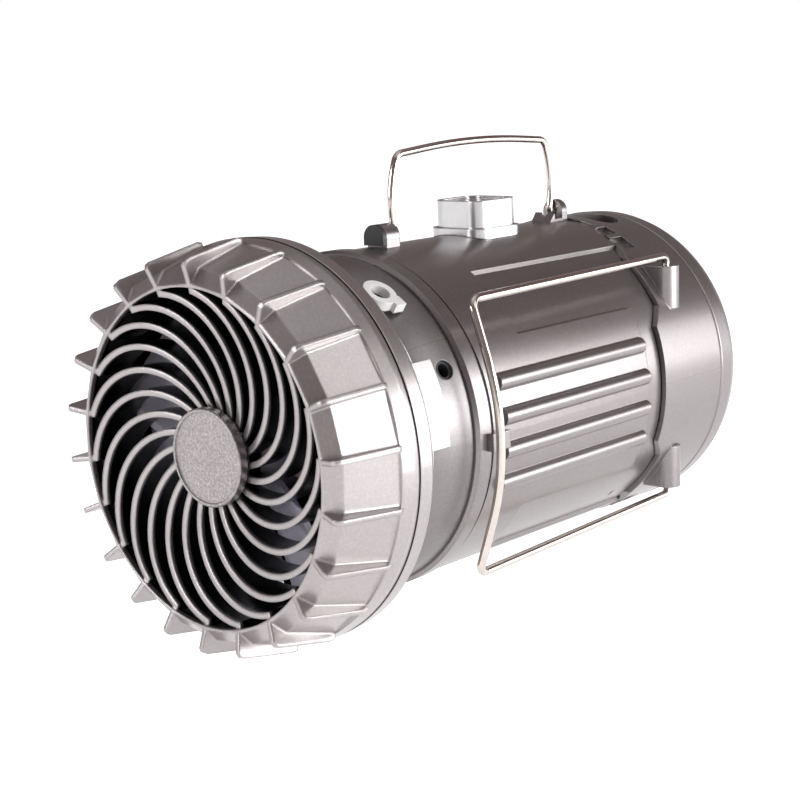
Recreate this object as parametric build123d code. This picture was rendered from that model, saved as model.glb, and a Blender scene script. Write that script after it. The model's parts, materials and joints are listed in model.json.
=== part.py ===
from build123d import *
import math
import os

# Portable camping fan: a fan head in front of a round lantern body, with a cap that pulls
# out rearwards, two wire bails, a side handle and a push button. Millimetres, +Z up.
# The fan blows towards -Y. The origin is the centre of the flat rear face.

# ---- driving dimensions -------------------------------------------------
BODY_LENGTH = 165.5  # front of the hub disc to the rear face
BODY_R = 43.0  # barrel
BODY_WALL = 2.2
BAND_R = 50.0  # widest round part of the head; the fins stand a little prouder
PANEL_R = BAND_R - 0.8  # rear end of the side panels
CORNER_R = BAND_R - 5.0  # front outer corner of the guard, at a fin
LIP_R = BAND_R - 9.3  # opening of the front guard
FIN_COUNT = 22
FIN_PHASE = 6.7  # angle of the first fin above +X, degrees
WIRE_R = 1.1  # bail wire
HANDLE_WIRE_R = 1.0
GAP = 0.3  # round parts that slide or lie inside each other
FIT = 0.1  # running fit of a wire or shaft in its hole
SPLIT_GAP = 0.4  # visible joint between barrel and cap
PRESS_TRAVEL = 1.5

HUB_Y = -BODY_LENGTH


def behind(distance):
    """Y of a plane that many millimetres behind the front of the hub disc."""
    return HUB_Y + distance


# ---- places along the axis ----------------------------------------------
LIP_Y = behind(-3.5)
CORNER_Y = behind(-0.5)
PANEL_Y = behind(13.2)
SEAM_Y = behind(18.8)
HEAD_END_Y = behind(25.2)
NECK_Y = behind(33.4)
RIM_Y = behind(47.0)
BARREL_Y = behind(53.6)
CAP_END_Y = behind(156.0)
CROSSBAR_Y = behind(48.8)
BAIL_PIVOT_Y = behind(139.5)
SWITCH_Y = behind(101.2)
HANDLE_SPAN = 66.0

os.makedirs("parts", exist_ok=True)


# ---- helpers -------------------------------------------------------------
def prism(sketch, y0, y1):
    """Extrude an X-Z sketch along Y from y0 to y1."""
    return extrude(Plane.XZ.offset(-y0) * sketch, -(y1 - y0))


def disc(radius, y0, y1):
    return prism(Circle(radius), y0, y1)


def tube(outer, inner, y0, y1):
    return prism(Circle(outer) - Circle(inner), y0, y1)


def turned(outline):
    """Revolve a closed (radius, y) outline about the long axis."""
    return revolve(make_face(Polyline(*outline, close=True)), Axis.Y)


def around(angle, radius=0.0, y=0.0):
    """Place a shape drawn on +X at an angle about the long axis; positive lifts +X to +Z."""
    return Rot(0, -angle, 0) * Pos(radius, y, 0)


def fused(parts):
    parts = list(parts)
    return parts[0].fuse(*parts[1:])


def cut(base, tools):
    return base.cut(*list(tools))


def unit(vector):
    return vector / vector.length


def bent_wire(corners, wire_r):
    """Round wire through (point, bend radius) corners; the ends have no bend."""
    points = [Vector(*point) for point, bend in corners]
    edges = []
    start = points[0]
    for i in range(1, len(points) - 1):
        into = unit(points[i] - points[i - 1])
        out = unit(points[i + 1] - points[i])
        turn = math.radians(into.get_angle(out))
        bend = corners[i][1]
        reach = bend * math.tan(turn / 2)
        first = points[i] - into * reach
        last = points[i] + out * reach
        middle = points[i] + unit(out - into) * (bend / math.cos(turn / 2) - bend)
        edges += [Line(start, first), ThreePointArc(first, middle, last)]
        start = last
    edges.append(Line(start, points[-1]))
    path = Wire(edges)
    return sweep(Plane(path @ 0, z_dir=path % 0) * Circle(wire_r), path=path)


def save(shape, name):
    """Write a node; a shape may hold several closed solids."""
    solids = shape.solids()
    export_step(solids[0] if len(solids) == 1 else Compound(children=solids), f"parts/{name}.step")


# ---- fan head --------------------------------------------------------------
FIN_THICK = 1.3
FIN_TIP_R = BAND_R - 2.6
FIN_REST_R = BAND_R + 0.6  # the fan can lie on two fins without rolling
FIN_TIP_Y = behind(-5.0)
HUB_DISC_R = 11.9
COLLAR_R = 10.6
BAR_WIDTH = 1.5
BAR_START_R = LIP_R - 0.9
BAR_MID = (LIP_R - 15.4, -38.5)  # radius and angle half-way along a swirl bar
BAR_END = (9.4, -64.0)
BAR_FRONT_OUTER = behind(-3.2)
BAR_FRONT_INNER = behind(2.6)
BAR_REAR = behind(6.8)  # the bars are deep, and level at the back
ROTOR_R = LIP_R + 0.3
ROTOR_HUB_R = 13.0
BLADE_COUNT = 7
SHAFT_R = 1.0


def fin_angles():
    return [FIN_PHASE + i * 360 / FIN_COUNT for i in range(FIN_COUNT)]


def on_circle(radius, angle):
    return (radius * math.cos(math.radians(angle)), radius * math.sin(math.radians(angle)))


def panel_prism(r0, y0, r1, y1):
    """Many-sided cone frustum whose corners lie at the fins."""
    ends = [(r0, y0), (r1, y1)]
    faces = [Plane.XZ.offset(-y) * RegularPolygon(r, FIN_COUNT, rotation=FIN_PHASE) for r, y in ends]
    return loft(faces, ruled=True)


def fin():
    """One thin radial fin, from the lip of the opening back to the end of the panels."""
    outline = Polyline(
        (LIP_R + 0.4, LIP_Y),
        (FIN_TIP_R - 1.4, FIN_TIP_Y),
        (FIN_TIP_R - 0.3, FIN_TIP_Y + 0.4),
        (FIN_TIP_R + 0.3, FIN_TIP_Y + 1.6),
        (FIN_REST_R, PANEL_Y - 1.6),
        (FIN_REST_R - 0.3, PANEL_Y - 0.2),
        (PANEL_R - 1.2, PANEL_Y),
        (CORNER_R - 1.5, CORNER_Y + 2.0),
        (LIP_R + 0.4, LIP_Y + 2.0),
        close=True,
    )
    return extrude(make_face(outline), FIN_THICK / 2, both=True)


def swirl_bar():
    """Plan of one guard bar: a short radial hook, then an arc in to the hub."""
    start = on_circle(BAR_START_R, 0)
    hook = Line((LIP_R + 0.6, 0), start)
    arc = ThreePointArc(start, on_circle(*BAR_MID), on_circle(*BAR_END))
    return trace(Curve() + [hook, arc], BAR_WIDTH)


def bar_slab():
    """Dished layer that the guard bars fill."""
    outer, inner = LIP_R + 1.0, COLLAR_R - 1.0
    return turned([
        (inner, BAR_FRONT_INNER),
        (outer, BAR_FRONT_OUTER),
        (outer, BAR_REAR),
        (inner, BAR_REAR),
    ])


def front_guard():
    wall = 2.0
    shell = fused([
        panel_prism(LIP_R + 1.0, LIP_Y, CORNER_R, CORNER_Y),
        panel_prism(CORNER_R, CORNER_Y, PANEL_R, PANEL_Y),
        turned([
            (0, PANEL_Y), (PANEL_R + 0.2, PANEL_Y), (BAND_R, SEAM_Y - 2.0), (BAND_R - 0.3, SEAM_Y),
            (0, SEAM_Y),
        ]),
    ])
    cavity = turned([
        (0, LIP_Y - 1), (LIP_R, LIP_Y - 1), (LIP_R, LIP_Y + 2.0), (CORNER_R - wall, CORNER_Y + 2.0),
        (PANEL_R - wall, PANEL_Y), (BAND_R - wall, SEAM_Y + 1), (0, SEAM_Y + 1),
    ])
    bars = [Rot(0, 0, angle) * swirl_bar() for angle in fin_angles()]
    pattern = Sketch() + bars
    y0, y1 = BAR_FRONT_OUTER - 1, BAR_REAR + 1
    grille = prism(pattern, y0, y1) & bar_slab()
    collar = tube(COLLAR_R, COLLAR_R - 3.0, behind(2.0), behind(7.0))
    fins = [around(angle) * fin() for angle in fin_angles()]
    return fused([shell - cavity, *fins, *grille.solids(), collar])


def hub_cap():
    """Round badge-free disc with a thin raised rim and a spigot in the guard's collar."""
    rim = 0.9
    face = HUB_Y - 0.8
    return turned([
        (0, face + 0.4), (HUB_DISC_R - rim, face + 0.4), (HUB_DISC_R - rim, face),
        (HUB_DISC_R - 0.3, face), (HUB_DISC_R, face + 0.3), (HUB_DISC_R, behind(1.6)),
        (HUB_DISC_R - 0.4, behind(2.0)), (COLLAR_R - 3.0, behind(2.0)), (COLLAR_R - 3.0, behind(6.0)),
        (0, behind(6.0)),
    ])


# Rows of slots in the rear wall: radius, count, radial width.
VENT_ROWS = [(BAND_R - 24.4, 15, 4.2), (BAND_R - 18.4, 18, 4.4), (BAND_R - 12.4, 22, 4.2)]
REAR_WALL = 2.0


def vent_slots():
    """Rows of round-ended slots in the rear wall of the head."""
    slots = []
    for radius, count, width in VENT_ROWS:
        length = 2 * math.pi * radius / count - 2.0
        for i in range(count):
            place = Rot(0, 0, 90 + i * 360 / count) * Pos(0, radius)
            slots.append(place * SlotOverall(length, width))
    return Sketch() + slots


SCREW_CIRCLE_R = 18.5
SCREW_R = 1.2
SCREW_ANGLES = [45, 135, 225, 315]
MOTOR_R = 12.0


def head_shell():
    body = turned([
        (0, HEAD_END_Y - REAR_WALL), (BAND_R - 2.3, HEAD_END_Y - REAR_WALL), (BAND_R - 2.3, SEAM_Y),
        (BAND_R - 0.3, SEAM_Y), (BAND_R, SEAM_Y + 0.4), (BAND_R - 0.3, HEAD_END_Y - 2.0),
        (BAND_R - 1.8, HEAD_END_Y), (0, HEAD_END_Y),
    ])
    y0, y1 = HEAD_END_Y - REAR_WALL - 1, HEAD_END_Y + 1
    holes = [disc(MOTOR_R + GAP, y0, y1), prism(vent_slots(), y0, y1)]
    holes += [around(a, SCREW_CIRCLE_R) * disc(SCREW_R, y0, y1) for a in SCREW_ANGLES]
    return cut(body, holes)


RING_R = BODY_R + 0.6
RING_INNER_R = RING_R - 5.0
RING_BASE = 1.4
POST_COUNT = 12
SHIELD_ANGLES = [15, 105, 195, 285]
SHIELD_SPAN = 28.0
SHIELD_Y = behind(37.2)
EYELET_ANGLES = [56, 236]
EYELET_Y = behind(35.4)
EYELET_R = 4.4


def sector(start, end, radius, y0, y1):
    """Wedge about the long axis, between two angles."""
    rim = arc(radius, start, end)
    return prism(make_face(Curve() + [Line((0, 0), rim @ 0), rim, Line(rim @ 1, (0, 0))]), y0, y1)


def vent_ring():
    """White open ring between head and neck: the fan draws its air in between the posts."""
    outer = RING_R - 2.4
    base = tube(outer, RING_INNER_R, NECK_Y - RING_BASE, NECK_Y)
    depth = NECK_Y - HEAD_END_Y
    post = Pos((outer + RING_INNER_R) / 2, NECK_Y - depth / 2, 0) * Box(outer - RING_INNER_R, depth, 3.0)
    posts = [around(15 + i * 360 / POST_COUNT) * post for i in range(POST_COUNT)]
    shell = tube(RING_R - 0.4, outer + 0.2, HEAD_END_Y + 2.0, SHIELD_Y)
    link = tube(RING_R - 0.4, outer - 0.6, HEAD_END_Y + 2.0, NECK_Y - RING_BASE)
    half = SHIELD_SPAN / 2
    wedges = [sector(a - half, a + half, RING_R + 2, HEAD_END_Y, SHIELD_Y + 1) for a in SHIELD_ANGLES]
    shields = [shell & wedge for wedge in wedges]
    links = [link & sector(a - 3, a + 3, RING_R + 2, HEAD_END_Y, SHIELD_Y) for a in SHIELD_ANGLES]
    height = 2.4
    eye_r = RING_R + 0.2 - height / 2
    eye = Cylinder(EYELET_R, height) - Cylinder(EYELET_R - 1.9, height + 1)
    eye = Pos(eye_r, EYELET_Y, 0) * Rot(0, 90, 0) * eye
    foot = Pos(eye_r, EYELET_Y + 2.4, -4.0) * Box(height, 3.4, 3.0)
    stalk = Pos(outer, NECK_Y - RING_BASE / 2, 0) * Box(3.0, RING_BASE, 5.0)
    eyelets = [around(a) * fused([eye, foot, stalk]) for a in EYELET_ANGLES]
    return fused([base, *posts, *shields, *links, *eyelets])


def head_screw(angle):
    head_y = HEAD_END_Y - REAR_WALL
    head = disc(2.4, head_y - 1.6, head_y) - prism(Rectangle(0.6, 4.0), head_y - 2, head_y - 1.0)
    return around(angle, SCREW_CIRCLE_R) * fused([head, disc(SCREW_R, head_y, NECK_Y - 1.0)])


# ---- rotor and motor ---------------------------------------------------------
BLADE_FRONT = behind(8.0)
BLADE_REAR = behind(19.5)
BLADE_THICK = 1.4
BLADE_SWEEP = 50.0  # angle that one blade covers, degrees
BLADE_PITCH = 24.0
BLADE_CAMBER_R = 42.0
MOTOR_FRONT = behind(23.0)
MOTOR_REAR = behind(44.0)
MOTOR_WALL = 1.0
BUSH_R = 3.0


def blade():
    """Cambered, pitched blade on +X: a piece of a thin tube cut to a sector of the rotor."""
    mid_y = (BLADE_FRONT + BLADE_REAR) / 2
    bow = Cylinder(BLADE_CAMBER_R, 80) - Cylinder(BLADE_CAMBER_R - BLADE_THICK, 82)
    bow = Rot(BLADE_PITCH, 0, 0) * Pos(0, -BLADE_CAMBER_R + 1, 0) * Rot(0, 90, 0) * bow
    bow = Pos(ROTOR_R / 2, mid_y, 0) * bow
    half = BLADE_SWEEP / 2
    edge = [on_circle(ROTOR_R, -half), on_circle(ROTOR_R, 0), on_circle(ROTOR_R, half)]
    root = [on_circle(ROTOR_HUB_R - 1, half), on_circle(ROTOR_HUB_R - 1, -half)]
    outline = Curve() + [
        ThreePointArc(*edge), Line(edge[2], root[0]), Line(root[0], root[1]), Line(root[1], edge[0]),
    ]
    return prism(make_face(outline), BLADE_FRONT, BLADE_REAR) & bow


def fan_rotor():
    hub = turned([
        (0, behind(7.6)), (ROTOR_HUB_R - 3, behind(7.6)), (ROTOR_HUB_R, behind(9.6)),
        (ROTOR_HUB_R, behind(22.2)), (ROTOR_HUB_R - 1.6, behind(22.2)), (ROTOR_HUB_R - 1.6, behind(10.6)),
        (3.0, behind(10.6)), (3.0, behind(20.0)), (0, behind(20.0)),
    ])
    blades = [around(i * 360 / BLADE_COUNT) * blade() for i in range(BLADE_COUNT)]
    return fused([hub, *blades]) - disc(SHAFT_R, behind(9.0), behind(21.0))


def motor_shaft():
    return disc(SHAFT_R, behind(9.0), MOTOR_REAR - 1.5)


def motor_can():
    can = disc(MOTOR_R, MOTOR_FRONT, MOTOR_REAR - 1.2)
    inside = disc(MOTOR_R - MOTOR_WALL, MOTOR_FRONT + MOTOR_WALL, MOTOR_REAR)
    return cut(can, [inside, disc(BUSH_R, MOTOR_FRONT - 1, MOTOR_FRONT + 2)])


def motor_magnets():
    """Two arc magnets against the inside of the can."""
    ring = tube(MOTOR_R - MOTOR_WALL, MOTOR_R - 3.6, MOTOR_FRONT + 3, MOTOR_REAR - 5)
    slot = Pos(0, (MOTOR_FRONT + MOTOR_REAR) / 2, 0) * Box(5, 40, 40)
    return ring - slot


def motor_armature():
    """Three-pole core with its windings, and the commutator behind it."""
    core = tube(7.6, SHAFT_R, MOTOR_FRONT + 4, MOTOR_REAR - 7)
    mid_y = (MOTOR_FRONT + MOTOR_REAR) / 2
    slots = [around(60 + i * 120, 7.0, mid_y) * Box(5, 40, 1.6) for i in range(3)]
    return fused([cut(core, slots), tube(2.6, SHAFT_R, MOTOR_REAR - 7, MOTOR_REAR - 4)])


def motor_end_bell():
    plug = disc(MOTOR_R, MOTOR_REAR - 1.2, MOTOR_REAR) - disc(BUSH_R, MOTOR_REAR - 3, MOTOR_REAR - 0.6)
    terminals = [Pos(0, MOTOR_REAR + 1.5, z) * Box(2.4, 3.0, 0.5) for z in (-8, 8)]
    return fused([plug, *terminals])


def motor_bush(y0, y1):
    return tube(BUSH_R, SHAFT_R + 0.05, y0, y1)


def motor_bracket():
    """Flat ring that clamps the motor to the wall of the neck."""
    y0 = NECK_Y + 2.0
    plate = tube(17.0, MOTOR_R, y0, y0 + 1.6)
    ears = [around(a, 19.0, y0 + 0.8) * Box(8, 1.6, 7) for a in (0, 180)]
    ring = cut(fused([plate, *ears]), [disc(MOTOR_R, y0 - 1, y0 + 3)])
    return cut(ring, [around(a, 20.5) * disc(1.1, y0 - 1, y0 + 3) for a in (0, 180)])


def bracket_screw(angle):
    y0 = NECK_Y + 3.6
    return around(angle, 20.5) * fused([disc(2.0, y0, y0 + 1.4), disc(1.1, NECK_Y + 0.6, y0)])


# ---- neck and barrel -----------------------------------------------------------
NECK_R = BODY_R - 0.8
RIM_R = BODY_R + 0.6
NECK_WALL = 2.0
JACK_ANGLE = 25.0
JACK_Y = behind(42.2)
JACK_R = 2.4
JACK_BORE_R = 1.75
JACK_BORE_DEPTH = 7.0


def jack_axis(shape):
    """Place a shape drawn along +Z, top at the neck's surface, on the jack's slanted axis."""
    return around(JACK_ANGLE, NECK_R - 0.9, JACK_Y) * Rot(0, 90, 0) * shape


def neck_collar():
    inner = NECK_R - 1.5 - NECK_WALL
    foot, rim = (NECK_R - 3.6, NECK_Y), (NECK_R, RIM_Y)
    flare = ThreePointArc(foot, (NECK_R - 0.9, NECK_Y + 6.4), rim)
    rest = Polyline(rim, (inner, RIM_Y), (inner, NECK_Y + 2.0), (0, NECK_Y + 2.0), (0, NECK_Y), foot)
    body = revolve(make_face(Curve() + [flare, rest]), Axis.Y)
    screws = [around(a, SCREW_CIRCLE_R) for a in SCREW_ANGLES]
    posts = [place * disc(3.0, HEAD_END_Y, NECK_Y) for place in screws]
    screw_holes = [place * disc(SCREW_R, HEAD_END_Y - 1, NECK_Y - 1.0) for place in screws]
    bracket_holes = [around(a, 20.5) * disc(1.1, NECK_Y + 0.6, NECK_Y + 3) for a in (0, 180)]
    jack_hole = jack_axis(Pos(0, 0, -4) * Cylinder(JACK_R, 16))
    motor_hole = disc(MOTOR_R, NECK_Y - 1, NECK_Y + 3)
    return cut(fused([body, *posts]), [*screw_holes, *bracket_holes, jack_hole, motor_hole])


def dc_jack():
    """Round low-voltage charging socket, open outwards."""
    barrel = Pos(0, 0, -4.5) * Cylinder(JACK_R, 9)
    bore = Pos(0, 0, -JACK_BORE_DEPTH / 2) * Cylinder(JACK_BORE_R, JACK_BORE_DEPTH)
    return jack_axis(barrel - bore)


def barrel_front_ring():
    """Bright front rim of the barrel and the bulkhead behind the motor."""
    body = turned([
        (NECK_R - 3.6, RIM_Y), (RIM_R - 0.8, RIM_Y), (RIM_R, RIM_Y + 0.8), (RIM_R, BARREL_Y - 1.6),
        (BODY_R, BARREL_Y - 0.6), (BODY_R - 0.4, BARREL_Y), (0, BARREL_Y), (0, BARREL_Y - 1.8),
        (NECK_R - 3.6, BARREL_Y - 1.8),
    ])
    return body - disc(4.0, BARREL_Y - 4, BARREL_Y + 1)


# The joint between barrel and cap, as (height, distance behind the hub disc); it is the
# same above and below the middle.
SPLIT_STEPS = [
    (0, 127.4), (16.0, 127.8), (21.0, 132.4), (33.5, 132.6), (37.5, 135.6), (40.0, 135.9), (41.6, 138.6),
    (60, 138.6),
]


def behind_split(offset):
    """Everything behind the wavy joint, moved rearwards by offset."""
    upper = [(behind(s) + offset, z) for z, s in SPLIT_STEPS]
    lower = [(y, -z) for y, z in reversed(upper[1:])]
    far = 40.0
    outline = [*lower, *upper, (far, 60), (far, -60)]
    return extrude(Plane.YZ * make_face(Polyline(*outline, close=True)), 70, both=True)


PANEL_TOP = 27.6  # half angle of the side panel's edge, degrees
PANEL_FOOT = 31.6  # the same at the foot of its sloped side
FACET_TOP = 61.5  # where the flat bright facet leaves the barrel
FACET_FOOT = 58.0
RECESS_R = BODY_R - 1.0
RECESS_Y = behind(71.5)
PANEL_END_Y = behind(120.5)
FLUTE_ANGLES = [-17.5, -6.1, 5.3, 16.7]
FLUTE_R = 2.2
FLUTE_TOP = BODY_R + 1.9
SLIT_ANGLE = -48.0
BUTTON_SIDE = 17.0
BUTTON_CORNER = 4.0
HANDLE_PIVOT_Z = BODY_R + 2.5
LUG_R = 3.4
HANDLE_FRONT_Y = SWITCH_Y - HANDLE_SPAN / 2
HANDLE_REAR_Y = SWITCH_Y + HANDLE_SPAN / 2
LUG_SLOT = HANDLE_WIRE_R + 0.8
FRONT_LUG = (HANDLE_FRONT_Y - 6.8, HANDLE_FRONT_Y - LUG_SLOT)
REAR_LUG = (HANDLE_REAR_Y + LUG_SLOT, behind(138.4))


def arc(radius, start, end):
    return ThreePointArc(*[on_circle(radius, a) for a in (start, (start + end) / 2, end)])


def closed(pieces):
    """Face from lines and arcs in order, with straight runs where one doesn't meet the next."""
    edges = []
    for piece, following in zip(pieces, pieces[1:] + pieces[:1]):
        edges += [piece, Line(piece @ 1, following @ 0)]
    return make_face(Curve() + edges)


def side_recesses():
    """Shallow recesses of one side: above and below the panel, and behind it."""
    outer = BODY_R + 4
    above = closed([arc(RECESS_R, FACET_FOOT, PANEL_FOOT), arc(outer, PANEL_TOP, FACET_TOP)])
    whole = closed([arc(RECESS_R, FACET_FOOT, -FACET_FOOT), arc(outer, -FACET_TOP, FACET_TOP)])
    pair = [prism(face, RECESS_Y, PANEL_END_Y + 0.1) for face in (above, mirror(above, Plane.XZ))]
    return [*pair, prism(whole, PANEL_END_Y, behind(145))]


def flute():
    """Half-round ridge with flat ends, along the side of the barrel."""
    return Pos(FLUTE_TOP - FLUTE_R, 0, 0) * disc(FLUTE_R, behind(57.2), behind(119.0))


def lug(y0, y1):
    """Round-topped ear on top of the barrel that holds the handle's wire."""
    pivot = Pos(0, HANDLE_PIVOT_Z)
    plan = pivot * Circle(LUG_R) + Pos(0, HANDLE_PIVOT_Z - 4) * Rectangle(2 * LUG_R, 8)
    return prism(plan, y0, y1)


def rear_ramp():
    """Low ramp in front of the rear ear; the wire stands in the slot between them."""
    y0, y1 = HANDLE_REAR_Y - 4.4, REAR_LUG[0] + 0.1
    top = HANDLE_PIVOT_Z - HANDLE_WIRE_R - 0.8
    outline = [(y0, BODY_R - 4), (y0, BODY_R - 0.6), (HANDLE_REAR_Y - 1.8, top + 1.8)]
    outline += [(HANDLE_REAR_Y - 1.5, top), (y1, top), (y1, BODY_R - 4)]
    return extrude(Plane.YZ * make_face(Polyline(*outline, close=True)), LUG_R, both=True)


def barrel_shell():
    inner = BODY_R - BODY_WALL
    y_end = behind(140)
    extras = []
    body = disc(BODY_R, BARREL_Y, y_end)
    for side in (0, 180):
        body = cut(body, [Rot(0, side, 0) * recess for recess in side_recesses()])
        extras += [around(side + (a if side == 0 else -a)) * flute() for a in FLUTE_ANGLES]
    extras += [lug(*FRONT_LUG), lug(*REAR_LUG), rear_ramp()]
    shell = fused([body, *extras])
    opening = Pos(0, SWITCH_Y, 45) * Box(BUTTON_SIDE + 0.7, BUTTON_SIDE + 0.7, 20)
    wire_hole = Pos(0, 0, HANDLE_PIVOT_Z) * disc(HANDLE_WIRE_R + FIT, RIM_Y, behind(138.0))
    slits = [around(a, BODY_R, behind(122.7)) * Box(3, 0.9, 2.4) for a in (SLIT_ANGLE, 180 - SLIT_ANGLE)]
    hollow = disc(inner, BARREL_Y - 1, y_end + 1)
    return cut(shell, [hollow, opening, wire_hole, *slits, disc(RIM_R, RIM_Y, BARREL_Y), behind_split(0)])


CATCH_Z = -0.9


def bail_catch(side):
    """Small block behind the bail's crossbar; the bar passes over it when the cap moves."""
    y0, y1 = CROSSBAR_Y + WIRE_R + 0.6, BARREL_Y + 3.4
    block = Pos(BODY_R + 1.0, (y0 + y1) / 2, CATCH_Z) * Box(2.8, y1 - y0, 4.4)
    solid = cut(block, [barrel_front_ring(), disc(BODY_R, BARREL_Y - 0.1, y1 + 1)])
    return solid if side > 0 else Rot(0, 180, 0) * solid


# ---- battery, board and lamp guide ------------------------------------------------
SLEEVE_R = BODY_R - 11.0
HOLDER_R = 18.0
CELL_R = 7.0
CELL_LENGTH = 48.0
CELL_CIRCLE_R = 8.2
CELL_Y = BARREL_Y + 3.0


def lamp_sleeve():
    """Inner tube that guides the lamp, with a flange against the barrel's wall."""
    y1 = behind(119.0)
    body = tube(SLEEVE_R + 1.2, SLEEVE_R, BARREL_Y, y1)
    flange = tube(BODY_R - BODY_WALL, SLEEVE_R, y1 - 1.6, y1)
    return fused([body, flange])


def battery_holder():
    y1 = CELL_Y + CELL_LENGTH + 6
    return tube(HOLDER_R, HOLDER_R - 1.6, BARREL_Y, y1) - disc(HOLDER_R - 1.0, y1 - 2, y1 + 1)


def battery_cell(index):
    can = disc(CELL_R, CELL_Y, CELL_Y + CELL_LENGTH - 1)
    tip = disc(2.6, CELL_Y + CELL_LENGTH - 1, CELL_Y + CELL_LENGTH)
    return around(90 + index * 120, CELL_CIRCLE_R) * fused([can, tip])


def contact_plate(y0):
    return disc(HOLDER_R - 1.8, y0, y0 + 1.2)


def holder_lid():
    y0 = CELL_Y + CELL_LENGTH + 4.0
    return fused([disc(HOLDER_R - 1.0, y0, y0 + 2.0), disc(HOLDER_R, y0 + 2.0, y0 + 3.6)])


# ---- push button --------------------------------------------------------------------
BEZEL_SIDE = 19.4
BEZEL_TOP = BODY_R + 1.9
BUTTON_TOP = BODY_R + 9.2
BUTTON_FOOT = BODY_R + 0.6
BOARD_Z = BODY_R - 8.6
SWITCH_TOP = BODY_R - 3.4
STEM_R = 2.2
SPRING_R = 4.2
SPRING_WIRE_R = 0.3


def rounded_block(side, corner, z0, z1):
    return Pos(0, SWITCH_Y, z0) * extrude(RectangleRounded(side, side, corner), z1 - z0)


def switch_bezel():
    ring = rounded_block(BEZEL_SIDE, BUTTON_CORNER + 0.8, BODY_R - 3, BEZEL_TOP)
    hole = rounded_block(BUTTON_SIDE + 2 * GAP, BUTTON_CORNER, BODY_R - 4, BEZEL_TOP + 1)
    return cut(ring, [hole, disc(BODY_R, behind(70), behind(130))])


def switch_button():
    """Tall bright cap with a dished top, a pin hole and a stem to the switch."""
    body = rounded_block(BUTTON_SIDE, BUTTON_CORNER, BUTTON_FOOT, BUTTON_TOP)
    dish = rounded_block(BUTTON_SIDE - 2.2, BUTTON_CORNER - 1.0, BUTTON_TOP - 1.0, BUTTON_TOP + 1)
    well = Pos(0, SWITCH_Y, BUTTON_TOP - 2) * Cylinder(2.0, 4)
    pocket = Pos(0, SWITCH_Y, BUTTON_FOOT + 1.5) * Cylinder(SPRING_R + 0.9, 3.0)
    stem_foot = SWITCH_TOP + PRESS_TRAVEL + 0.2
    stem_top = BUTTON_FOOT + 4
    stem = Pos(0, SWITCH_Y, (stem_foot + stem_top) / 2) * Cylinder(STEM_R, stem_top - stem_foot)
    return fused([cut(body, [dish, well, pocket]), stem])


def switch_spring():
    z0, z1 = SWITCH_TOP + SPRING_WIRE_R, BUTTON_FOOT + 3.0 - SPRING_WIRE_R
    coil = Helix(pitch=(z1 - z0) / 4, height=z1 - z0, radius=SPRING_R)
    start = Plane(coil @ 0, z_dir=coil % 0)
    return Pos(0, SWITCH_Y, z0) * sweep(start * Circle(SPRING_WIRE_R), path=coil, is_frenet=True)


def switch_body():
    return Pos(0, SWITCH_Y, (BOARD_Z + 1.4 + SWITCH_TOP) / 2) * Box(12.0, 12.0, SWITCH_TOP - BOARD_Z - 1.4)


def control_board():
    """Circuit board under the switch, with two plain components on it."""
    board = Pos(0, SWITCH_Y - 5.0, BOARD_Z + 0.7) * Box(15.0, 40.0, 1.4)
    chips = [Pos(0, SWITCH_Y + dy, BOARD_Z + 2.1) * Box(7.0, 6.0, 1.4) for dy in (-19, 11)]
    return fused([board, *chips])


# ---- side handle -------------------------------------------------------------------
HANDLE_TOP_Z = HANDLE_PIVOT_Z + 20.6
HANDLE_BOW = 2.6  # how far the middle of the bar stands above its ends, at the tangents


def side_handle():
    """Wire handle along the top; its ends turn outwards into the two lugs."""
    z0, z1 = HANDLE_PIVOT_Z, HANDLE_TOP_Z
    front, rear = HANDLE_FRONT_Y, HANDLE_REAR_Y
    corners = [
        ((0, front - 6.6, z0), 0),
        ((0, front, z0), 1.6),
        ((0, front - 1.8, z0 + 10.5), 30.0),
        ((0, front + 1.8, z1), 3.0),
        ((0, (front + rear) / 2, z1 + HANDLE_BOW), 250.0),
        ((0, rear - 1.8, z1), 3.0),
        ((0, rear + 1.8, z0 + 10.5), 30.0),
        ((0, rear, z0), 1.6),
        ((0, behind(137.8), z0), 0),
    ]
    return bent_wire(corners, HANDLE_WIRE_R)


def handle_end_cap():
    """Black cover on the front face of the front lug."""
    y1 = FRONT_LUG[0]
    return cut(lug(y1 - 1.4, y1), [disc(RIM_R, y1 - 2, y1 + 1)])


# ---- rear cap, lamp and bails ---------------------------------------------------------
CAP_R = BODY_R + 0.5
RIM_INNER_R = BODY_R - 4.5
BAIL_X = BODY_R - 7.0
BAIL_Z = BODY_R - 9.2
BOSS_R = 3.6
BOSS_Z = (BODY_R - 23.4, BODY_R - 11.6)
LAMP_R = SLEEVE_R - GAP
LAMP_WALL = 1.8
LAMP_PLATE_Y = behind(145.0)


def pivot_boss(x_side, z_side):
    """Round boss with a web to the cap; the bail's end turns in its hole."""
    low, high = BOSS_Z
    post = Pos(0, 0, (low + high) / 2) * Cylinder(BOSS_R, high - low)
    web = Pos(-5, 0, (low + high) / 2) * Box(10, 2 * BOSS_R, high - low)
    boss = Pos(BAIL_X, BAIL_PIVOT_Y, 0) * fused([post, web])
    if z_side < 0:
        boss = mirror(boss, Plane.XY)
    if x_side < 0:
        boss = mirror(boss, Plane.YZ)
    return boss


# Shallow recesses on the cap beside the joint: angle, y, length and width.
LATCH_RECESSES = [
    (side + sign * angle, behind(s), 5.6, width)
    for side in (0, 180) for sign in (-1, 1) for angle, s, width in ((68.0, 139.0, 4.6), (59.0, 138.6, 5.4))
]


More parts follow.
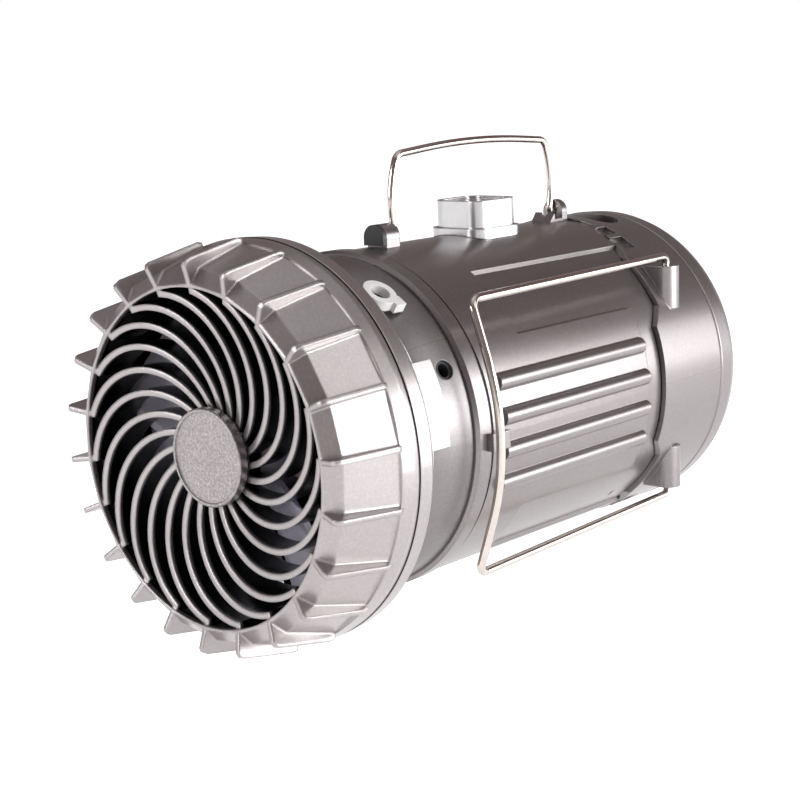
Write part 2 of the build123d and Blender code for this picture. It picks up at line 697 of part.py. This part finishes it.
def rear_cap():
    inner = BODY_R - BODY_WALL
    skirt_r = inner - GAP
    bosses = [pivot_boss(x, z) for x in (-1, 1) for z in (-1, 1)]
    shell = disc(CAP_R, behind(120), CAP_END_Y) & behind_split(SPLIT_GAP)
    shell = cut(fused([shell, *bosses]), [disc(inner - 1.4, behind(110), CAP_END_Y + 1)])
    skirt_cut = tube(inner + 5, skirt_r, behind(115), behind(122.5))
    skirt = tube(skirt_r, inner - 1.8, behind(122.5), CAP_END_Y)
    reach = 2 * BOSS_Z[1] - 6
    hole = Cylinder(WIRE_R + FIT, reach)
    hole_z = BOSS_Z[0] + 3 + reach / 2
    holes = [Pos(x * BAIL_X, BAIL_PIVOT_Y, z * hole_z) * hole for x in (-1, 1) for z in (-1, 1)]
    notch = Pos(0, behind(148.4), BODY_R) * extrude(SlotOverall(26.0, 9.6), 3, both=True)
    recesses = [around(a, BODY_R, y) * Box(1.6, length, width) for a, y, length, width in LATCH_RECESSES]
    return cut(fused([shell, skirt]), [skirt_cut, notch, *recesses, *holes])


def end_ring():
    """Plain rear ring of the cap, open in the middle for the end plate."""
    return turned([
        (RIM_INNER_R, CAP_END_Y), (CAP_R - 0.5, CAP_END_Y), (CAP_R + 0.1, CAP_END_Y + 0.8),
        (CAP_R - 0.2, -3.6), (CAP_R - 0.9, -1.4), (CAP_R - 2.4, 0), (RIM_INNER_R, 0),
    ])


def solar_cells():
    """Dark cell plate, in four quarters under the clear cover."""
    cell_r = RIM_INNER_R - 4.5
    cross = Rectangle(2 * cell_r + 2, 1.6) + Rectangle(1.6, 2 * cell_r + 2)
    plate = prism(Circle(cell_r) - cross, -2.6, -1.6)
    return fused([disc(RIM_INNER_R, -4.2, -2.6), plate])


def solar_cover():
    """Clear plate, flush with the rear ring."""
    return disc(RIM_INNER_R, -1.6, 0)


def lamp_plate():
    """Reflector plate in the cap that carries the lamp tube and its board."""
    return disc(BODY_R - BODY_WALL - 1.8, LAMP_PLATE_Y, LAMP_PLATE_Y + 2.0)


def lamp_diffuser():
    return tube(LAMP_R, LAMP_R - LAMP_WALL, behind(60.0), LAMP_PLATE_Y)


def led_board():
    return disc(LAMP_R - 3.7, LAMP_PLATE_Y - 1.6, LAMP_PLATE_Y)


def led_chips():
    y = LAMP_PLATE_Y - 1.6
    chips = [around(i * 45, LAMP_R - 7.7, y - 0.6) * Box(3.0, 1.2, 3.0) for i in range(8)]
    return Compound(children=chips)


BAIL_CORNER_X = BODY_R - 2.0  # the legs lean out a little, so the crossbar clears the barrel
BAIL_APEX_X = BODY_R + 9.4  # where the tangents of the bowed crossbar meet
BAIL_BOW_R = 62.0


def bail(side):
    """Wire bail: ends in the bosses, legs forward, crossbar bowed round the barrel."""
    tip = BOSS_Z[0] + 4
    half = [
        ((BAIL_X, BAIL_PIVOT_Y, tip), 0),
        ((BAIL_X, BAIL_PIVOT_Y, BAIL_Z), 2.0),
        ((BAIL_CORNER_X, CROSSBAR_Y, BAIL_Z), 3.0),
    ]
    other = [((x, y, -z), bend) for (x, y, z), bend in reversed(half)]
    wire = bent_wire([*half, ((BAIL_APEX_X, CROSSBAR_Y, 0), BAIL_BOW_R), *other], WIRE_R)
    return wire if side > 0 else mirror(wire, Plane.YZ)


# ---- write the nodes -----------------------------------------------------------------
nodes = {
    "front_guard": front_guard(),
    "hub_cap": hub_cap(),
    "head_shell": head_shell(),
    "vent_ring": vent_ring(),
    "fan_rotor": fan_rotor(),
    "motor_shaft": motor_shaft(),
    "motor_can": motor_can(),
    "motor_magnets": motor_magnets(),
    "motor_armature": motor_armature(),
    "motor_end_bell": motor_end_bell(),
    "motor_bush_front": motor_bush(MOTOR_FRONT, MOTOR_FRONT + 2),
    "motor_bush_rear": motor_bush(MOTOR_REAR - 2.6, MOTOR_REAR - 0.6),
    "motor_bracket": motor_bracket(),
    "neck_collar": neck_collar(),
    "dc_jack": dc_jack(),
    "barrel_front_ring": barrel_front_ring(),
    "barrel_shell": barrel_shell(),
    "lamp_sleeve": lamp_sleeve(),
    "battery_holder": battery_holder(),
    "battery_contact_front": contact_plate(CELL_Y - 1.2),
    "battery_contact_rear": contact_plate(CELL_Y + CELL_LENGTH),
    "battery_lid": holder_lid(),
    "control_board": control_board(),
    "switch_body": switch_body(),
    "switch_bezel": switch_bezel(),
    "switch_spring": switch_spring(),
    "switch_button": switch_button(),
    "side_handle": side_handle(),
    "handle_end_cap": handle_end_cap(),
    "bail_catch_near": bail_catch(1),
    "bail_catch_far": bail_catch(-1),
    "rear_cap": rear_cap(),
    "end_ring": end_ring(),
    "solar_cells": solar_cells(),
    "solar_cover": solar_cover(),
    "lamp_plate": lamp_plate(),
    "lamp_diffuser": lamp_diffuser(),
    "led_board": led_board(),
    "led_chips": led_chips(),
    "bail_near": bail(1),
    "bail_far": bail(-1),
}
for number, screw_angle in enumerate(SCREW_ANGLES, 1):
    nodes[f"head_screw_{number}"] = head_screw(screw_angle)
for number, screw_angle in enumerate((0, 180), 1):
    nodes[f"bracket_screw_{number}"] = bracket_screw(screw_angle)
for number in range(3):
    nodes[f"battery_cell_{number + 1}"] = battery_cell(number)

for node, solid in nodes.items():
    save(solid, node)
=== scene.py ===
import json

import bmesh
import bpy
from mathutils import Matrix, Vector


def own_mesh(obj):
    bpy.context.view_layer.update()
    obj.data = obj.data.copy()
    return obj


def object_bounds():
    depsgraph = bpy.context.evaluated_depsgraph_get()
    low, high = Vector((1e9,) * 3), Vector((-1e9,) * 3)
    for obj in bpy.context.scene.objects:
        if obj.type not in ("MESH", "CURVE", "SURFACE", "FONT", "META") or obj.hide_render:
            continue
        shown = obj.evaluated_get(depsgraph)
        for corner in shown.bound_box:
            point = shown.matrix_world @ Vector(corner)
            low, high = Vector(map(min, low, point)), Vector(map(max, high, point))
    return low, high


# Portable camping fan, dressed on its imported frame. Metres, fan towards -Y, button at +Z.

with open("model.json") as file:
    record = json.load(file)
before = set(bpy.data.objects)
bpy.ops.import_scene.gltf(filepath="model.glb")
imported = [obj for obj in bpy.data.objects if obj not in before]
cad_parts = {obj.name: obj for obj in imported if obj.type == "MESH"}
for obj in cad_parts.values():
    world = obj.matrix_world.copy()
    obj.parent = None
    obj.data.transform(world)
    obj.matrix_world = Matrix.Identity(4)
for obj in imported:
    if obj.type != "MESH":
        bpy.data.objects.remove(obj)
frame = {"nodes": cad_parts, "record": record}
NODES = frame["nodes"]
CAD_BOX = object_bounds()


# ---- node helpers ----------------------------------------------------------------
class Tree:
    """Small wrapper that adds and links shader nodes."""

    def __init__(self, name):
        self.material = bpy.data.materials.new(name)
        self.material.use_nodes = True
        self.tree = self.material.node_tree
        self.tree.nodes.clear()
        self.out = self.add("ShaderNodeOutputMaterial")

    def add(self, kind, **values):
        node = self.tree.nodes.new(kind)
        for key, value in values.items():
            if key in node.inputs:
                node.inputs[key].default_value = value
            else:
                setattr(node, key, value)
        return node

    def link(self, source, target):
        self.tree.links.new(source, target)

    def coords(self):
        return self.add("ShaderNodeTexCoord").outputs["Object"]

    def noise(self, scale, detail=2.0, rough=0.5, vector=None):
        node = self.add("ShaderNodeTexNoise", Scale=scale, Detail=detail, Roughness=rough)
        self.link(vector or self.coords(), node.inputs["Vector"])
        return node.outputs["Fac"]

    def ramp(self, source, *stops):
        """Colour ramp through (position, colour) stops."""
        node = self.add("ShaderNodeValToRGB")
        elements = node.color_ramp.elements
        while len(elements) < len(stops):
            elements.new(0.5)
        for element, (position, colour) in zip(elements, stops):
            element.position = position
            element.color = (*colour, 1.0)
        self.link(source, node.inputs["Fac"])
        return node.outputs["Color"]

    def span(self, source, low, high, from_low=0.0, from_high=1.0):
        node = self.add("ShaderNodeMapRange")
        node.inputs["From Min"].default_value = from_low
        node.inputs["From Max"].default_value = from_high
        node.inputs["To Min"].default_value = low
        node.inputs["To Max"].default_value = high
        self.link(source, node.inputs["Value"])
        return node.outputs["Result"]

    def math(self, operation, a, b=None):
        node = self.add("ShaderNodeMath", operation=operation)
        for socket, value in zip(node.inputs, (a, b)):
            if value is None:
                continue
            if isinstance(value, (int, float)):
                socket.default_value = value
            else:
                self.link(value, socket)
        return node.outputs[0]

    def mix(self, fac, a, b, blend="MIX"):
        node = self.add("ShaderNodeMix", data_type="RGBA", blend_type=blend)
        for socket, value in ((node.inputs[0], fac), (node.inputs[6], a), (node.inputs[7], b)):
            if isinstance(value, (int, float)):
                socket.default_value = value
            elif isinstance(value, tuple):
                socket.default_value = (*value, 1.0)
            else:
                self.link(value, socket)
        return node.outputs[2]

    def bump(self, height, strength, distance, radius=0.0):
        """Bump on top of edges softened over radius."""
        node = self.add("ShaderNodeBump", Strength=strength, Distance=distance)
        self.link(height, node.inputs["Height"])
        if radius:
            bevel = self.add("ShaderNodeBevel", samples=6, Radius=radius)
            self.link(bevel.outputs["Normal"], node.inputs["Normal"])
        return node.outputs["Normal"]

    def principled(self, base, normal=None, rough=None, **values):
        node = self.add("ShaderNodeBsdfPrincipled")
        for key, value in values.items():
            node.inputs[key.replace("_", " ")].default_value = value
        if isinstance(base, tuple):
            node.inputs["Base Color"].default_value = (*base, 1.0)
        else:
            self.link(base, node.inputs["Base Color"])
        if rough is not None:
            self.link(rough, node.inputs["Roughness"])
        if normal is not None:
            self.link(normal, node.inputs["Normal"])
        self.link(node.outputs["BSDF"], self.out.inputs["Surface"])
        return self.material


def scaled(colour, factor):
    return tuple(min(1.0, c * factor) for c in colour)


# ---- materials -------------------------------------------------------------------
PAINT = (0.385, 0.362, 0.364)  # head
BODY_PAINT_SHADED = (0.245, 0.228, 0.229)  # barrel, cap and rings: a darker copy of the head's paint, as painted shade
BRIGHT_SILVER = (0.54, 0.54, 0.55)
BLACK = (0.010, 0.010, 0.011)
MM = 0.001
LENGTH_MM = 165.5  # from the hub disc's front to the rear face, where Y is 0
FINE_GRAIN = 1500.0  # noise scale
LINE_COVER = 0.45  # how much of the paint a parting line darkens
LINE_TONE = 0.55
LINE_HEIGHT = 2.5  # a parting line's rise, in grains of the paint


def depth(distance_mm):
    """Y of a plane that many millimetres behind the hub disc's nominal front."""
    return (distance_mm - LENGTH_MM) * MM


def near(t, source, place, half_width):
    """1 within half_width of place, else 0."""
    offset = t.math("ABSOLUTE", t.math("SUBTRACT", source, place))
    return t.math("LESS_THAN", offset, half_width)


def below(t, source, limit, blur):
    """1 under limit, fading to 0 over blur."""
    return t.span(source, 1.0, 0.0, limit - blur / 2, limit + blur / 2)


def either(t, *masks):
    total = masks[0]
    for mask in masks[1:]:
        total = t.math("MAXIMUM", total, mask)
    return total


class Place:
    """Object coordinates of a shading point, with its radius about the long axis."""

    def __init__(self, t):
        split = t.add("ShaderNodeSeparateXYZ")
        t.link(t.coords(), split.inputs["Vector"])
        self.x, self.y, self.z = (split.outputs[name] for name in "XYZ")
        squares = t.math("ADD", t.math("MULTIPLY", self.x, self.x), t.math("MULTIPLY", self.z, self.z))
        self.r = t.math("SQRT", squares)


def metallic_paint(
    name, base=PAINT, flake=0.06, metallic=0.88, low=0.28, high=0.31, edge=0.0004, skin=0.015,
    darker=None, mould_line=None,
):
    """Satin metallic paint: fine flake, faint mottling, softened edges.

    low and high bound the roughness, edge is the radius that edges are softened over, and skin
    is the strength of the grain. darker gives the mask of places turned black, among them the
    painted shade of the button's pin hole, and mould_line that of a thin parting line.
    """
    t = Tree(name)
    grain = t.noise(FINE_GRAIN, 2.0, 0.6)
    flakes = t.ramp(
        grain,
        (0.30, scaled(base, 1.0 - flake)), (0.52, base), (0.72, scaled(base, 1.0 + 1.6 * flake)),
    )
    cloud = t.ramp(t.noise(45.0, 3.0), (0.3, (0.95, 0.945, 0.94)), (0.7, (1.0, 1.0, 1.0)))
    colour = t.mix(1.0, flakes, cloud, "MULTIPLY")
    rough = t.span(t.noise(900.0, 2.0), low, high, 0.3, 0.7)
    height = grain
    if mould_line or darker:
        place = Place(t)
    if mould_line:
        line = mould_line(t, place)
        colour = t.mix(t.math("MULTIPLY", line, LINE_COVER), colour, scaled(base, LINE_TONE))
        height = t.math("ADD", grain, t.math("MULTIPLY", line, LINE_HEIGHT))
    if darker:
        colour = t.mix(darker(t, place), colour, BLACK)
    normal = t.bump(height, skin, 0.00004, edge)
    return t.principled(
        colour, normal, rough, Metallic=metallic, Coat_Weight=0.10, Coat_Roughness=0.3,
    )


BAR_SLOPE = -0.1807  # how the guard's front face dishes towards the hub
BAR_HUB_R = 9.6 * MM
BAR_HUB_Y = depth(2.6)
SILVER_DEPTH = (0.0007, 0.0011)  # where the silver fades to black behind the bars' front face
LIP_BORE = 0.0411
HEAD_BORE = 0.0478
SEAM_Y = depth(18.8)
BARREL_Y = depth(53.6)
CAP_END_Y = depth(156.0)
BUTTON_Y = depth(101.2)
PIN_HOLE_R = 0.0011
SHARP = 0.0002  # fade at the edge of a painted area


def guard_black(t, place):
    """Silver outside and on the bars' front edges; black on the bars behind them, and a dark line at the
    seam.
    """
    at_axis = BAR_HUB_Y - BAR_SLOPE * BAR_HUB_R
    face = t.math("ADD", t.math("MULTIPLY", place.r, BAR_SLOPE), at_axis)
    deep = t.span(t.math("SUBTRACT", place.y, face), 0.0, 1.0, *SILVER_DEPTH)
    bars = t.math("MULTIPLY", deep, below(t, place.r, LIP_BORE, SHARP))
    seam = t.math("MULTIPLY", near(t, place.y, SEAM_Y, 0.00016), 0.85)
    return either(t, bars, seam)


def head_black(t, place):
    """Black inside the head's rear shell, and a dark line where it meets the guard."""
    in_front = below(t, place.y, depth(25.0), SHARP)
    inside = t.math("MULTIPLY", in_front, below(t, place.r, HEAD_BORE, SHARP))
    return either(t, inside, near(t, place.y, SEAM_Y, 0.00022))


def ring_groove(t, place):
    return near(t, place.y, BARREL_Y, 0.00020)


def cap_groove(t, place):
    return near(t, place.y, CAP_END_Y, 0.00018)


def neck_line(t, place):
    """Parting line along the neck and its rim, 35 degrees above the side."""
    sine, cosine = 0.5736, 0.8192
    across = t.math("SUBTRACT", t.math("MULTIPLY", place.x, sine), t.math("MULTIPLY", place.z, cosine))
    return near(t, across, 0.0, 0.00010)


def pin_hole_shade(t, place):
    """Pin hole in the middle of the button, painted black as the shade inside it."""
    along = t.math("SUBTRACT", place.y, BUTTON_Y)
    squares = t.math("ADD", t.math("MULTIPLY", along, along), t.math("MULTIPLY", place.x, place.x))
    return below(t, t.math("SQRT", squares), PIN_HOLE_R, SHARP)


def cap_line(t, place):
    return near(t, place.z, 0.0005, 0.00010)


def plated(name, base, rough_low, rough_high, edge=0.0):
    """Plated metal with faint draw marks along the long axis."""
    t = Tree(name)
    marks = t.noise(500.0, 4.0, 0.7)
    colour = t.ramp(marks, (0.3, scaled(base, 0.90)), (0.6, base))
    rough = t.span(t.noise(160.0, 3.0), rough_low, rough_high, 0.3, 0.7)
    normal = t.bump(marks, 0.05, 0.00003, edge)
    return t.principled(colour, normal, rough, Metallic=1.0)


def moulded(name, base, rough_low, rough_high, grain=FINE_GRAIN, strength=0.15, edge=0.0003, **values):
    """Moulded plastic with a fine grain and a faint change of tone."""
    t = Tree(name)
    skin = t.noise(grain, 3.0, 0.6)
    tone = t.noise(60.0, 2.0)
    colour = t.ramp(tone, (0.3, scaled(base, 0.88)), (0.7, scaled(base, 1.06)))
    rough = t.span(skin, rough_low, rough_high, 0.3, 0.7)
    normal = t.bump(skin, strength, 0.00005, edge)
    return t.principled(colour, normal, rough, **values)


def solar():
    """Dark cells with thin pale collector lines."""
    t = Tree("solar_cells_dark")
    split = t.add("ShaderNodeSeparateXYZ")
    t.link(t.coords(), split.inputs["Vector"])
    lines = t.math("PINGPONG", split.outputs["X"], 0.0022)
    thin = t.math("LESS_THAN", lines, 0.00012)
    tone = t.ramp(t.noise(220.0, 4.0, 0.7), (0.35, (0.010, 0.014, 0.045)), (0.65, (0.024, 0.032, 0.085)))
    colour = t.mix(thin, tone, (0.30, 0.31, 0.34))
    return t.principled(colour, Roughness=0.28)


def bright_silver(name, **masks):
    """Smooth, bright silver finish of the button and its bezel."""
    return metallic_paint(
        name, BRIGHT_SILVER, flake=0.03, metallic=0.95, low=0.23, high=0.26, edge=0.0005, **masks,
    )


MATERIALS = {
    # The silver slot takes the body's darker copy of the paint, which is painted shade.
    "silver_paint": metallic_paint("silver_paint_satin", BODY_PAINT_SHADED),
    "bright_silver": bright_silver("bright_silver_plate"),
    "nickel_wire": plated("nickel_wire_polished", (0.60, 0.55, 0.51), 0.08, 0.14),
    "black_plastic": moulded("black_plastic_matt", (0.018, 0.018, 0.020), 0.42, 0.60),
    "white_plastic": moulded("white_plastic_smooth", (0.62, 0.62, 0.615), 0.30, 0.42, strength=0.06),
    "rotor_plastic": moulded("rotor_plastic_grey", (0.62, 0.60, 0.72), 0.28, 0.40, strength=0.06),
    "diffuser": moulded(
        "diffuser_milky", (0.86, 0.86, 0.84), 0.35, 0.45, strength=0.05, Subsurface_Weight=0.3,
        Subsurface_Scale=0.004,
    ),
    "steel": plated("steel_plain", (0.55, 0.55, 0.56), 0.28, 0.40, edge=0.0002),
    "magnet": moulded("magnet_grey", (0.06, 0.06, 0.065), 0.55, 0.75, grain=800.0),
    "winding": plated("winding_copper", (0.55, 0.27, 0.12), 0.3, 0.45),
    "bush": plated("bush_bronze", (0.60, 0.43, 0.22), 0.3, 0.45),
    "board": moulded("board_green", (0.02, 0.13, 0.06), 0.3, 0.5, grain=600.0),
    "cell_wrap": moulded("cell_wrap_blue", (0.05, 0.14, 0.34), 0.25, 0.35),
    "solar_dark": solar(),
    "clear_cover": Tree("clear_cover_plate").principled(
        (0.93, 0.95, 0.96), Roughness=0.06, Transmission_Weight=1.0, IOR=1.49,
    ),
    "led": moulded("led_lens", (0.85, 0.80, 0.55), 0.2, 0.3),
}

# Painted nodes with lines, black places, grain or painted shade of their own.
NODE_MATERIALS = {
    "front_guard": metallic_paint("silver_paint_guard", edge=0.0009, darker=guard_black),
    "head_shell": metallic_paint("silver_paint_head", darker=head_black),
    "hub_cap": metallic_paint(
        "silver_paint_hub", scaled(PAINT, 0.86), flake=0.26, low=0.36, high=0.46, skin=0.14,
    ),
    # The neck's dish takes the head paint darkened to 0.55: painted shade of the recess between head and
    # barrel.
    "neck_collar": metallic_paint(
        "silver_paint_neck_shaded", scaled(PAINT, 0.55), low=0.37, high=0.40, mould_line=neck_line,
    ),
    "barrel_front_ring": metallic_paint(
        "silver_paint_rim", BODY_PAINT_SHADED, mould_line=neck_line, darker=ring_groove,
    ),
    # The button's pin hole is painted black, as painted shade.
    "switch_button": bright_silver("bright_silver_button", darker=pin_hole_shade),
    "rear_cap": metallic_paint("silver_paint_cap", BODY_PAINT_SHADED, mould_line=cap_line, darker=cap_groove),
    "end_ring": metallic_paint("silver_paint_end", BODY_PAINT_SHADED, darker=cap_groove),
}

for part in frame["record"]["subparts"]:
    slots = NODES[part["node"]].data.materials
    for i in range(len(slots)):
        slots[i] = NODE_MATERIALS.get(part["node"], MATERIALS[part["material_slot"]])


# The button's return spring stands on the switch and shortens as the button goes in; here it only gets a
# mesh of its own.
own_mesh(NODES["switch_spring"])

# ---- floor, lights and camera --------------------------------------------------------
def area_light(name, place, target, size, power):
    data = bpy.data.lights.new(name, "AREA")
    data.shape = "RECTANGLE"
    data.size, data.size_y = size
    data.energy = power
    light = bpy.data.objects.new(name, data)
    light.location = place
    light.rotation_euler = (Vector(target) - Vector(place)).to_track_quat("-Z", "Y").to_euler()
    light.visible_camera = False
    bpy.context.scene.collection.objects.link(light)


FLOOR_Z = CAD_BOX[0].z - 0.0004
FLOOR_GLOW = 0.84  # keeps the floor as pale as the studio's walls
floor_mesh = bpy.data.meshes.new("floor")
build = bmesh.new()
bmesh.ops.create_grid(build, x_segments=1, y_segments=1, size=12.0)
build.to_mesh(floor_mesh)
build.free()
floor = bpy.data.objects.new("floor", floor_mesh)
floor.location = (0, 0, FLOOR_Z)
bpy.context.scene.collection.objects.link(floor)
floor_tree = Tree("floor_pale")
tone = floor_tree.ramp(floor_tree.noise(3.0), (0.0, (0.86, 0.86, 0.86)), (1.0, (0.88, 0.88, 0.88)))
floor_mesh.materials.append(floor_tree.principled(
    tone, Roughness=0.9, Emission_Color=(1.0, 1.0, 1.0, 1.0), Emission_Strength=FLOOR_GLOW,
))

MIDDLE = (0.0, -0.09, 0.0)
HEAD_SIDE = (0.05, -0.145, 0.0)
HUB = (0.0, -0.16, 0.0)
area_light("side_box", (0.85, 0.75, 0.12), MIDDLE, (0.75, 0.40), 4.0)
area_light("head_box", (0.31, 0.089, 0.055), HEAD_SIDE, (0.18, 0.20), 0.5)
area_light("top_box", (0.62, 0.02, 0.535), HEAD_SIDE, (0.40, 0.30), 0.7)
area_light("front_box", (-0.35, -1.05, 0.30), HUB, (0.5, 0.4), 5.0)
area_light("right_box", (1.10, 0.12, 0.12), MIDDLE, (0.45, 0.40), 7.0)


def studio_world():
    """Pale horizon, dim warm band above it, bright zenith, and plain white where the camera looks."""
    world = bpy.data.worlds.new("studio")
    world.use_nodes = True
    tree = world.node_tree
    tree.nodes.clear()
    coords = tree.nodes.new("ShaderNodeTexCoord")
    split = tree.nodes.new("ShaderNodeSeparateXYZ")
    tree.links.new(coords.outputs["Generated"], split.inputs["Vector"])
    ramp = tree.nodes.new("ShaderNodeValToRGB")
    stops = (
        (0.0, 0.50, 0.48, 0.48),
        (0.20, 0.30, 0.25, 0.245),
        (0.62, 0.18, 0.125, 0.12),
        (0.84, 0.45, 0.42, 0.42),
        (1.0, 0.85, 0.82, 0.82),
    )
    while len(ramp.color_ramp.elements) < len(stops):
        ramp.color_ramp.elements.new(0.5)
    for element, (position, *colour) in zip(ramp.color_ramp.elements, stops):
        element.position = position
        element.color = (*colour, 1.0)
    tree.links.new(split.outputs["Z"], ramp.inputs["Fac"])
    seen = tree.nodes.new("ShaderNodeLightPath")
    mix = tree.nodes.new("ShaderNodeMix")
    mix.data_type = "RGBA"
    tree.links.new(seen.outputs["Is Camera Ray"], mix.inputs[0])
    tree.links.new(ramp.outputs["Color"], mix.inputs[6])
    mix.inputs[7].default_value = (1.0, 1.0, 1.0, 1.0)
    background = tree.nodes.new("ShaderNodeBackground")
    tree.links.new(mix.outputs[2], background.inputs["Color"])
    out = tree.nodes.new("ShaderNodeOutputWorld")
    tree.links.new(background.outputs["Background"], out.inputs["Surface"])
    bpy.context.scene.world = world


studio_world()
bpy.context.scene.view_settings.view_transform = "Standard"

CAMERA_PLACE = Vector((0.294675, -0.420374, 0.088938))
CAMERA_RIGHT = Vector((0.7429355, 0.66819107, -0.03959208))
CAMERA_UP = Vector((-0.10175148, 0.17119917, 0.9799681))
CAMERA_BACK = Vector((0.66158407, -0.72402454, 0.19517937))

camera_data = bpy.data.cameras.new("camera")
camera_data.sensor_width = 36.0
camera_data.lens = 76.0
camera_data.clip_start = 0.01
camera = bpy.data.objects.new("camera", camera_data)
axes = Matrix((CAMERA_RIGHT, CAMERA_UP, CAMERA_BACK)).transposed()
camera.matrix_world = Matrix.Translation(CAMERA_PLACE) @ axes.to_4x4()
bpy.context.scene.collection.objects.link(camera)
bpy.context.scene.camera = camera
